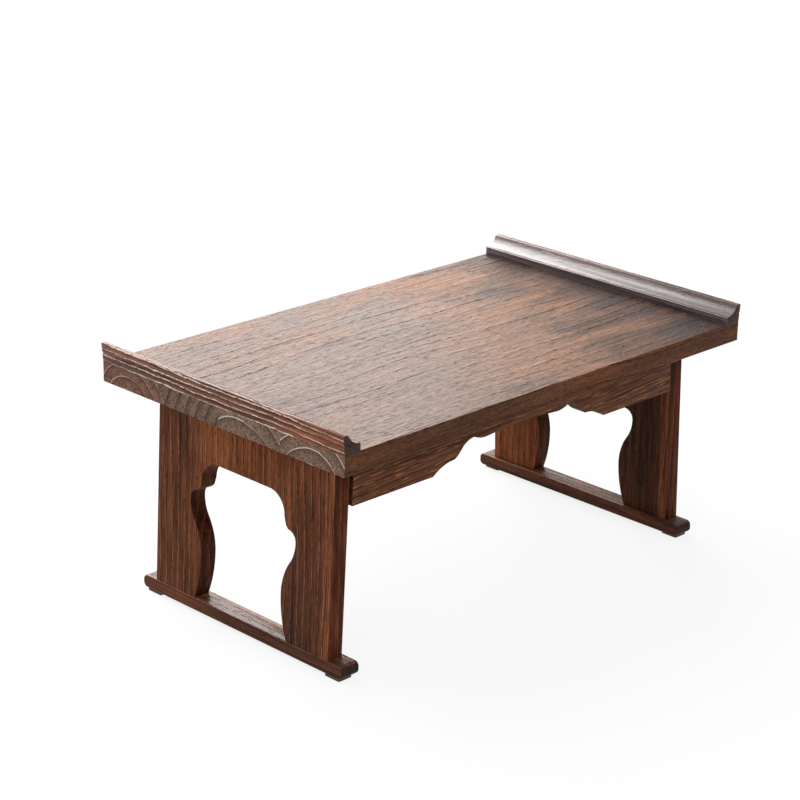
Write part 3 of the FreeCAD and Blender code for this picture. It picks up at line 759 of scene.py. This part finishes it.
@dataclass
class Studio:
    """The pale floor, the soft lights and the camera."""

    lens_px: float = 2398.06
    azimuth: float = math.radians(-45.30)
    elevation: float = math.radians(20.29)
    roll: float = math.radians(1.14)
    distance: float = 2.11531
    target: tuple = (-0.03725, 0.0, 0.16639)
    floor_radius: float = 9.0
    floor_white: float = 0.82
    sky: float = 0.45

    def camera(self) -> None:
        """Put the camera where the photograph was taken."""
        back = Vector((math.sin(self.azimuth) * math.cos(self.elevation),
                       -math.cos(self.azimuth) * math.cos(self.elevation), math.sin(self.elevation)))
        right = Vector((math.cos(self.azimuth), math.sin(self.azimuth), 0.0))
        up = back.cross(right)
        turned = math.cos(self.roll) * right + math.sin(self.roll) * up
        raised = -math.sin(self.roll) * right + math.cos(self.roll) * up
        data = bpy.data.cameras.new("camera")
        data.sensor_width = SENSOR_WIDTH
        data.lens = self.lens_px / IMAGE_WIDTH * data.sensor_width
        data.clip_end = CLIP_END
        camera = bpy.data.objects.new("camera", data)
        place = Matrix((turned, raised, back)).transposed().to_4x4()
        place.translation = Vector(self.target) + back * self.distance
        camera.matrix_world = place
        bpy.context.scene.collection.objects.link(camera)
        bpy.context.scene.camera = camera

    def floor(self) -> None:
        """Lay the pale floor, which is clear when it is seen from below."""
        mesh = bpy.data.meshes.new("floor")
        form = bmesh.new()
        bmesh.ops.create_circle(form, cap_ends=True, radius=self.floor_radius, segments=96)
        form.to_mesh(mesh)
        form.free()
        floor = bpy.data.objects.new("floor", mesh)
        bpy.context.scene.collection.objects.link(floor)
        material, g = blank_material("pale_floor")
        paint = g.add("ShaderNodeBsdfDiffuse", FLOOR_PAINT)
        white = g.add("ShaderNodeEmission")
        where = g.add("ShaderNodeTexCoord").outputs["Object"]
        way_out = g.add("ShaderNodeVectorMath", where, operation="LENGTH")
        fade = g.step(way_out.outputs["Value"], 0.25, 0.75, self.floor_white, 1.0)
        shown = g.math("MULTIPLY", g.seen(), fade)
        blend = g.add("ShaderNodeMixShader", shown, paint.outputs[0], white.outputs[0])
        below = g.add("ShaderNodeNewGeometry").outputs["Backfacing"]
        nothing = g.add("ShaderNodeBsdfTransparent")
        clear = g.add("ShaderNodeMixShader", below, blend.outputs[0], nothing.outputs[0])
        g.add("ShaderNodeOutputMaterial", clear.outputs[0])
        mesh.materials.append(material)

    def world(self) -> None:
        """Make the sky: white where it is seen or mirrored, softer where it lights."""
        world = bpy.data.worlds.new("studio")
        world.use_nodes = True
        world.node_tree.nodes.clear()
        g = Graph(world.node_tree)
        sky = g.add("ShaderNodeBackground", WHITE, g.step(g.seen(), 0.0, 1.0, self.sky, 1.0))
        g.add("ShaderNodeOutputWorld", sky.outputs[0])
        bpy.context.scene.world = world

    def lamp(self, name: str, place: tuple, aim: tuple, width: float, height: float, power: float) -> None:
        """Hang one soft light.

        Args:
            name: The light's name.
            place: Where it hangs.
            aim: The point that it faces.
            width: The panel's width.
            height: The panel's height.
            power: Its power.
        """
        data = bpy.data.lights.new(name, "AREA")
        data.shape = "RECTANGLE"
        data.size = width
        data.size_y = height
        data.energy = power
        lamp = bpy.data.objects.new(name, data)
        lamp.location = place
        lamp.rotation_euler = (Vector(aim) - Vector(place)).to_track_quat("-Z", "Y").to_euler()
        lamp.visible_camera = False
        bpy.context.scene.collection.objects.link(lamp)

    def build(self) -> None:
        """Set the whole stage up."""
        bpy.context.scene.view_settings.view_transform = "Standard"
        self.camera()
        self.floor()
        self.world()
        self.lamp("window", (0.58, 1.72, 1.0), (0.0, 0.0, 0.2), 2.2, 1.3, 48.0)
        self.lamp("high_soft", (-0.35, 1.05, 1.6), (0.2, 0.0, 0.2), 1.0, 1.1, 17.0)
        self.lamp("left_soft", (-1.7, -0.9, 1.2), (0.0, 0.0, 0.15), 1.3, 1.0, 16.0)
        self.lamp("front_soft", (0.3, -2.2, 1.5), (0.0, 0.0, 0.15), 1.6, 1.0, 12.0)


def bevel(form: bmesh.types.BMesh, edges: list, width: float, segments: int) -> list:
    """Round edges off.

    Args:
        form: The form.
        edges: Its edges.
        width: The width of the round beside an edge.
        segments: Facets across the round.

    Returns:
        The new faces.
    """
    made = bmesh.ops.bevel(form, geom=edges, offset=width, offset_type="OFFSET", segments=segments,
                           profile=0.5, affect="EDGES", clamp_overlap=True, material=-1)
    return made["faces"]


@dataclass
class Dresser:
    """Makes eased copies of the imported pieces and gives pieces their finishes."""

    nodes: dict
    timber: Timber
    smoke: Smoke

    def wood(self, finish: WoodFinish) -> bpy.types.Material:
        """The material of a wood finish, on the shared grain and smoke."""
        return finish.material(self.timber, self.smoke)

    def placed(self, form: bmesh.types.BMesh, name: str, node: str, body: str) -> bpy.types.Object:
        """Turn a form into a piece that stands for a packed one.

        Args:
            form: The form, which is freed.
            name: The piece's name.
            node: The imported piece.
            body: The body that it rides on.

        Returns:
            The piece.
        """
        mesh = bpy.data.meshes.new(name)
        form.to_mesh(mesh)
        form.free()
        mesh.shade_smooth()
        mesh.set_sharp_from_angle(angle=SMOOTH_ANGLE)
        piece = bpy.data.objects.new(name, mesh)
        bpy.context.scene.collection.objects.link(piece)
        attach(piece, body)
        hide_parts(node)
        return piece

    def eased(self, node: str, body: str, ease: float) -> bpy.types.Object:
        """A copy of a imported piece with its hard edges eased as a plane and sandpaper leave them.

        Args:
            node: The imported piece.
            body: The body that it rides on.
            ease: The width of the eased edge.

        Returns:
            The copy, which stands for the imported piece.
        """
        form = bmesh.new()
        form.from_mesh(self.nodes[node].data)
        bmesh.ops.remove_doubles(form, verts=form.verts, dist=WELD)
        bmesh.ops.dissolve_limit(form, angle_limit=FLAT_ANGLE, verts=form.verts, edges=form.edges)
        hard = [e for e in form.edges if e.is_manifold and e.calc_face_angle() > HARD_ANGLE]
        for face in bevel(form, hard, ease, 3):
            face.material_index = EDGE_SLOT
        return self.placed(form, f"{node}_eased", node, body)

    def pressed(self, node: str, body: str) -> bpy.types.Object:
        """A moulded pad in place of a packed one: round corners, and a ring pressed into its sole.

        Args:
            node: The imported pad.
            body: The body that it rides on.

        Returns:
            The pad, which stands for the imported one.
        """
        points = [v.co for v in self.nodes[node].data.vertices]
        low = Vector([min(p[i] for p in points) for i in range(3)])
        high = Vector([max(p[i] for p in points) for i in range(3)])
        form = bmesh.new()
        block = Matrix.Translation((low + high) / 2) @ Matrix.Diagonal((*(high - low), 1.0))
        bmesh.ops.create_cube(form, size=1.0, matrix=block)
        upright = [e for e in form.edges if abs(e.verts[0].co.z - e.verts[1].co.z) > WELD]
        sole = min(form.faces, key=lambda f: f.calc_center_median().z)
        slope = PAD_RIM * 0.3
        for thickness, lift in ((PAD_RIM, 0.0), (slope, -PAD_DEPTH), (PAD_RIM, 0.0), (slope, PAD_DEPTH)):
            bmesh.ops.inset_region(form, faces=[sole], thickness=thickness, depth=lift)
        bevel(form, upright, PAD_CORNER, 5)
        brim = [e for e in form.edges if e.is_manifold and e.calc_face_angle() > BRIM_ANGLE
                and max(v.co.z for v in e.verts) - low.z < WELD and e not in sole.edges]
        bevel(form, brim, PAD_CORNER * 0.2, 2)
        return self.placed(form, f"{node}_pressed", node, body)

    def dress(self, piece: bpy.types.Object, *materials: bpy.types.Material) -> None:
        """Give a piece its materials in slot order.

        Args:
            piece: The piece.
            materials: Its materials.
        """
        if piece.data.materials:
            piece.data.materials.clear()
        for material in materials:
            piece.data.materials.append(material)
        LOG.info("%s: %s", piece.name, ", ".join(m.name for m in materials))


LEG_TONES = WoodTones(dark=(0.022, 0.0078, 0.0042), mid=(0.092, 0.0285, 0.0122), light=(0.175, 0.060, 0.025),
                      glow=(0.250, 0.072, 0.022), ridge_highlight=(0.290, 0.135, 0.070), groove=(0.014, 0.005, 0.003),
                      pore=(0.018, 0.007, 0.004), end=(0.050, 0.020, 0.012), end_line=(0.070, 0.035, 0.022))
# The bars' tones are bright and the painted side shade darkens their sides, so their tops stay lighter than
# their sides
BAR_TONES = WoodTones(dark=(0.052, 0.022, 0.014), mid=(0.164, 0.062, 0.031), light=(0.240, 0.105, 0.052),
                      glow=(0.360, 0.132, 0.052), ridge_highlight=(0.420, 0.230, 0.130), groove=(0.024, 0.010, 0.008),
                      pore=(0.030, 0.013, 0.009), end=(0.030, 0.013, 0.008), end_line=(0.050, 0.026, 0.017))
APRON_TONES = WoodTones(dark=(0.016, 0.0064, 0.0038), mid=(0.098, 0.038, 0.0205), light=(0.170, 0.072, 0.038),
                        glow=(0.145, 0.054, 0.024), ridge_highlight=(0.190, 0.088, 0.046), groove=(0.012, 0.005, 0.003),
                        pore=(0.380, 0.155, 0.060), end=(0.040, 0.018, 0.011), end_line=(0.060, 0.030, 0.020))
TOP_TONES = WoodTones(dark=(0.085, 0.035, 0.015), mid=(0.140, 0.059, 0.024), light=(0.190, 0.090, 0.040),
                      glow=(0.390, 0.158, 0.058), ridge_highlight=(0.240, 0.105, 0.055), groove=(0.016, 0.008, 0.006),
                      pore=(0.026, 0.012, 0.008))
MOULDING_TONES = WoodTones(dark=(0.026, 0.009, 0.005), mid=(0.205, 0.080, 0.044), light=(0.310, 0.136, 0.082),
                           glow=(0.300, 0.104, 0.050), ridge_highlight=(0.740, 0.550, 0.450),
                           groove=(0.008, 0.004, 0.003), pore=(0.030, 0.013, 0.008))
LIP_TONES = WoodTones(dark=(0.034, 0.024, 0.026), mid=(0.100, 0.076, 0.080), light=(0.150, 0.122, 0.128),
                      glow=(0.120, 0.086, 0.086), ridge_highlight=(0.240, 0.170, 0.150), groove=(0.014, 0.008, 0.007),
                      pore=(0.020, 0.011, 0.009))
# Painted highlight: pale tones for the rounded top edge of a moulding's lip
ARRIS_HIGHLIGHT_TONES = WoodTones(dark=(0.200, 0.155, 0.150), mid=(0.320, 0.260, 0.255), light=(0.420, 0.350, 0.345),
                        glow=(0.380, 0.290, 0.275), ridge_highlight=(0.480, 0.400, 0.390), groove=(0.120, 0.090, 0.085),
                        pore=(0.120, 0.090, 0.085))
HOLLOW_TONES = WoodTones(dark=(0.050, 0.026, 0.027), mid=(0.108, 0.060, 0.060), light=(0.155, 0.094, 0.092),
                         glow=(0.140, 0.090, 0.080), ridge_highlight=(0.200, 0.150, 0.145),
                         groove=(0.045, 0.030, 0.030), pore=(0.050, 0.034, 0.033))

# Levels across each leg, as pairs of a place across the leg and a level: the first pair lifts the front edge
# out of the painted side shade
LEFT_LEG_LEVELS = ((0.0, 2.1), (0.035, 1.03), (0.36, 0.98), (0.45, 0.99), (0.62, 1.12), (0.70, 1.26), (1.0, 1.24))
RIGHT_LEG_LEVELS = ((0.0, 2.7), (0.035, 0.57), (0.62, 0.63), (0.68, 0.95), (1.0, 1.02))

# The top's wood, and what sets its planks apart: place in the trunk, cut end with its painted ring highlight,
# warm patches, and the darker band at the right end, partly staining and partly painted shade
# Painted highlight: pale ring lines on the planks' cut ends, as light catching the raised rings
PAINTED_RING_HIGHLIGHT = (0.56, 0.44, 0.37)
PLANK_WOOD = WoodFinish(name="top_wood", tones=TOP_TONES, way=Way.LENGTH, line_width=0.095, row_gap=0.0150,
                        row_width=0.085, row_swell=0.065, waver=0.022, pore_rows=900.0, streak_depth=0.6,
                        shade_depth=0.32, groove_depth=0.95, pore_depth=0.4, glow_span=(-0.19, 0.0),
                        painted_side_shade=1.0, roughness=0.35, specular=0.06, coat=0.22, coat_roughness=0.36,
                        relief=0.0011, brushed=0.2)
PLANKS = (
    replace(PLANK_WOOD, tones=replace(TOP_TONES, end=(0.150, 0.090, 0.065), end_line=PAINTED_RING_HIGHLIGHT),
            pith=(0.0, -0.112, 0.172), ring_gap=0.0125, glow_share=1.0, glow_floor=0.5,
            glow_rise=(-0.10, 0.03), glow_dull=0.4, smoke_span=(0.0, 0.15, 0.135, 0.218)),
    replace(PLANK_WOOD, tones=replace(TOP_TONES, end=(0.155, 0.096, 0.070), end_line=PAINTED_RING_HIGHLIGHT),
            pith=(0.0, -0.030, 0.150), ring_gap=0.0150, glow_share=0.52, glow_floor=0.85,
            glow_rise=(-0.06, 0.04), glow_dull=0.6, smoke_span=(0.02, 0.17, 0.155, 0.220)),
    replace(PLANK_WOOD, tones=replace(TOP_TONES, end=(0.138, 0.083, 0.060), end_line=(0.030, 0.018, 0.013)),
            pith=(0.0, -0.085, 0.165), ring_gap=0.0120, glow_share=0.95, glow_floor=0.65,
            glow_rise=(0.0, 0.1), glow_dull=0.7, smoke_span=(-0.02, 0.22, 0.180, 0.226)),
    # The back plank's cut end also gets pale ring lines as painted highlight
    replace(PLANK_WOOD, tones=replace(TOP_TONES, end=(0.150, 0.070, 0.045), end_line=(0.40, 0.29, 0.23)),
            pith=(0.0, 0.116, 0.180), ring_gap=0.0095, glow_share=1.0, glow_floor=0.7,
            glow_rise=(0.02, 0.1), glow_dull=1.0, smoke_span=(-0.02, 0.24, 0.190, 0.230)),
)


@dataclass
class TableTop:
    """The four planks and the two end mouldings."""

    dresser: Dresser

    def planks(self) -> None:
        """Dress the planks, each cut from its own part of a trunk."""
        for i, plank in enumerate(PLANKS, start=1):
            finish = replace(plank, name=f"top_wood_{i}", seed=float(i))
            self.dresser.dress(self.dresser.nodes[f"top_plank_{i}"], self.dresser.wood(finish))

    def hollow(self, piece: bpy.types.Object, inward: float) -> None:
        """Give the faces of a moulding's hollow, its lip and the rounded top edge of the lip their own
        finish; that edge takes a painted highlight.

        Args:
            piece: The moulding.
            inward: The sign of the way along X to the middle of the table.
        """
        for face in piece.data.polygons:
            slope = face.normal.x * inward
            # The rounded top edge of the lip takes the painted highlight
            if slope > 0.3 and face.normal.z > 0.1 and abs(face.center.z - LIP_TOP) < LIP_BAND:
                face.material_index = ARRIS_HIGHLIGHT_SLOT
            elif slope > 0.12 and 0.12 < face.normal.z < 0.99:
                face.material_index = HOLLOW_SLOT
            elif slope > 0.95:
                face.material_index = LIP_SLOT

    def mouldings(self) -> None:
        """Ease and dress the mouldings."""
        for side in Side:
            out = MOULDING_OUT if side is Side.LEFT else -MOULDING_OUT
            finish = WoodFinish(name=f"{side.value}_moulding_wood", tones=MOULDING_TONES, way=Way.DEPTH,
                                pith=(0.0, out, 0.12), tilt=0.014, seed=7.0 + out, row_gap=0.0054,
                                row_width=0.22, waver=0.010, shake=0.0034, shade_depth=0.45, ridge_highlight_depth=0.9,
                                groove_depth=1.0, roughness=0.36, relief=0.0006)
            hollow = replace(finish, name=f"{side.value}_moulding_hollow", tones=HOLLOW_TONES,
                             ridge_highlight_depth=0.2, groove_depth=0.12, pore_depth=0.3, specular=0.6, roughness=0.3,
                             coat=0.8, coat_roughness=0.34, coat_ior=1.9, relief=0.0003)
            arris_highlight = replace(hollow, name=f"{side.value}_moulding_arris_highlight", tones=ARRIS_HIGHLIGHT_TONES)
            lip = replace(finish, name=f"{side.value}_moulding_lip", tones=LIP_TONES, ridge_highlight_depth=0.12)
            material = self.dresser.wood(finish)
            piece = self.dresser.eased(f"{side.value}_end_moulding", "table_top", MOULDING_EASE)
            self.hollow(piece, 1.0 if side is Side.LEFT else -1.0)
            self.dresser.dress(piece, material, self.dresser.wood(finish.worn_and_lit(MOULDING_WEAR_AND_HIGHLIGHT)),
                               self.dresser.wood(hollow), self.dresser.wood(lip),
                               self.dresser.wood(arris_highlight))
            self.dresser.dress(self.dresser.nodes[f"{side.value}_moulding_dowels"], material)

    def build(self) -> None:
        """Make the whole top."""
        self.planks()
        self.mouldings()


@dataclass
class Underframe:
    """The aprons, the rails behind the legs, the glue blocks and the fixed halves of the hinges."""

    dresser: Dresser
    steel: bpy.types.Material

    def aprons(self) -> None:
        """Ease and dress the aprons and their glue blocks."""
        for i, end in enumerate(End):
            # Painted shade: the back apron, in strong light from behind, gets fainter pale flecks than the
            # front one
            finish = WoodFinish(name=f"{end.value}_apron_wood", tones=APRON_TONES, way=Way.LENGTH,
                                tilt=0.05, seed=11.0 + i, row_gap=0.007, row_width=0.2, pore_rows=760.0,
                                pore_run=42.0, groove_depth=0.9, ridge_highlight_depth=0.3,
                                pore_depth=0.85 if end is End.FRONT else 0.4, gloom=0.3, roughness=0.45,
                                specular=0.04)
            material = self.dresser.wood(finish)
            piece = self.dresser.eased(f"{end.value}_apron", "table_top", WOOD_EASE)
            self.dresser.dress(piece, material, self.dresser.wood(finish.worn_and_lit(WOOD_WEAR_AND_HIGHLIGHT)))
            blocks = self.dresser.eased(f"{end.value}_glue_blocks", "table_top", WOOD_EASE)
            self.dresser.dress(blocks, material, material)

    def rails(self) -> None:
        """Dress the rails, their dowels and the fixed halves of the hinges."""
        finish = WoodFinish(name="rail_wood", tones=APRON_TONES, way=Way.DEPTH, seed=15.0, specular=0.08,
                            roughness=0.5)
        material = self.dresser.wood(finish)
        for side in Side:
            rail = self.dresser.eased(f"{side.value}_hinge_rail", "table_top", RAIL_EASE)
            self.dresser.dress(rail, material, material)
            for part in ("rail_dowels", "corner_dowels"):
                self.dresser.dress(self.dresser.nodes[f"{side.value}_{part}"], material)
            self.dresser.dress(self.dresser.nodes[f"{side.value}_rail_hinge_screws"], self.steel)
            for end in End:
                hinge = f"{side.value}_{end.value}_hinge"
                leaf = self.dresser.eased(f"{hinge}_rail_leaf", "table_top", LEAF_EASE)
                self.dresser.dress(leaf, self.steel, self.steel)
                self.dresser.dress(self.dresser.nodes[f"{hinge}_pin"], self.steel)

    def build(self) -> None:
        """Make the whole frame under the top."""
        self.aprons()
        self.rails()


@dataclass
class Leg:
    """One folding leg: its board, its foot bar, the pads and the moving halves of the hinges."""

    side: Side
    dresser: Dresser
    steel: bpy.types.Material
    rubber: bpy.types.Material

    def board(self) -> None:
        """Ease and dress the board."""
        name = self.side.value
        left = self.side is Side.LEFT
        # The right leg, in shade under the top, gets a fainter painted highlight on its ridges than the left
        # one
        finish = WoodFinish(name=f"{name}_leg_wood", tones=LEG_TONES, way=Way.UPRIGHT,
                            seed=21.0 if left else 27.0, row_gap=0.0083, row_width=0.12, waver=0.020,
                            groove_depth=0.9, ridge_highlight_depth=0.42 if left else 0.15, glow_share=0.8, gloom=0.7,
                            painted_side_shade=1.0, across_levels=LEFT_LEG_LEVELS if left else RIGHT_LEG_LEVELS, roughness=0.42,
                            specular=0.03)
        piece = self.dresser.eased(f"{name}_leg_panel", f"{name}_leg", WOOD_EASE)
        self.dresser.dress(piece, self.dresser.wood(finish),
                           self.dresser.wood(finish.worn_and_lit(WOOD_WEAR_AND_HIGHLIGHT)))

    def bar(self) -> None:
        """Ease and dress the foot bar."""
        name = self.side.value
        out = BAR_OUT if self.side is Side.LEFT else -BAR_OUT
        finish = WoodFinish(name=f"{name}_bar_wood", tones=BAR_TONES, way=Way.DEPTH, seed=31.0 + out,
                            row_gap=0.0062, row_width=0.2, specular=0.06, roughness=0.36,
                            coat=0.24, coat_roughness=0.22, groove_depth=0.5, ridge_highlight_depth=0.2, painted_side_shade=1.0,
                            smoke_span=(-0.02, -0.16, -0.085, -0.125) if out < 0.0 else SMOKE_NONE)
        material = self.dresser.wood(finish)
        piece = self.dresser.eased(f"{name}_foot_bar", f"{name}_leg", BAR_EASE)
        self.dresser.dress(piece, material, self.dresser.wood(finish.worn_and_lit(BAR_WEAR_AND_HIGHLIGHT)))
        self.dresser.dress(self.dresser.nodes[f"{name}_foot_dowels"], material)

    def build(self) -> None:
        """Make the whole leg."""
        name = self.side.value
        self.board()
        self.bar()
        self.dresser.dress(self.dresser.nodes[f"{name}_leg_hinge_screws"], self.steel)
        for end in End:
            leaf = self.dresser.eased(f"{name}_{end.value}_hinge_leg_leaf", f"{name}_leg", LEAF_EASE)
            self.dresser.dress(leaf, self.steel, self.steel)
            pad = self.dresser.pressed(f"{name}_{end.value}_foot_pad", f"{name}_leg")
            self.dresser.dress(pad, self.rubber)


def main() -> None:
    """Build the stage and dress the table."""
    logging.basicConfig(level=logging.INFO, format="%(message)s")
    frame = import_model()
    Studio().build()
    dresser = Dresser(frame["nodes"], Timber(), Smoke())
    steel = PlainFinish(name="hinge_steel", tone=(0.32, 0.27, 0.19), shade=(0.20, 0.17, 0.13), roughness=0.38,
                        metallic=1.0, grit=900.0, relief=0.0001).material()
    rubber = PlainFinish(name="pad_rubber", tone=(0.022, 0.017, 0.014), shade=(0.045, 0.034, 0.027),
                         roughness=0.7, metallic=0.0, grit=1200.0, relief=0.0003).material()
    TableTop(dresser).build()
    Underframe(dresser, steel).build()
    for side in Side:
        Leg(side, dresser, steel, rubber).build()


if __name__ == "__main__":
    main()
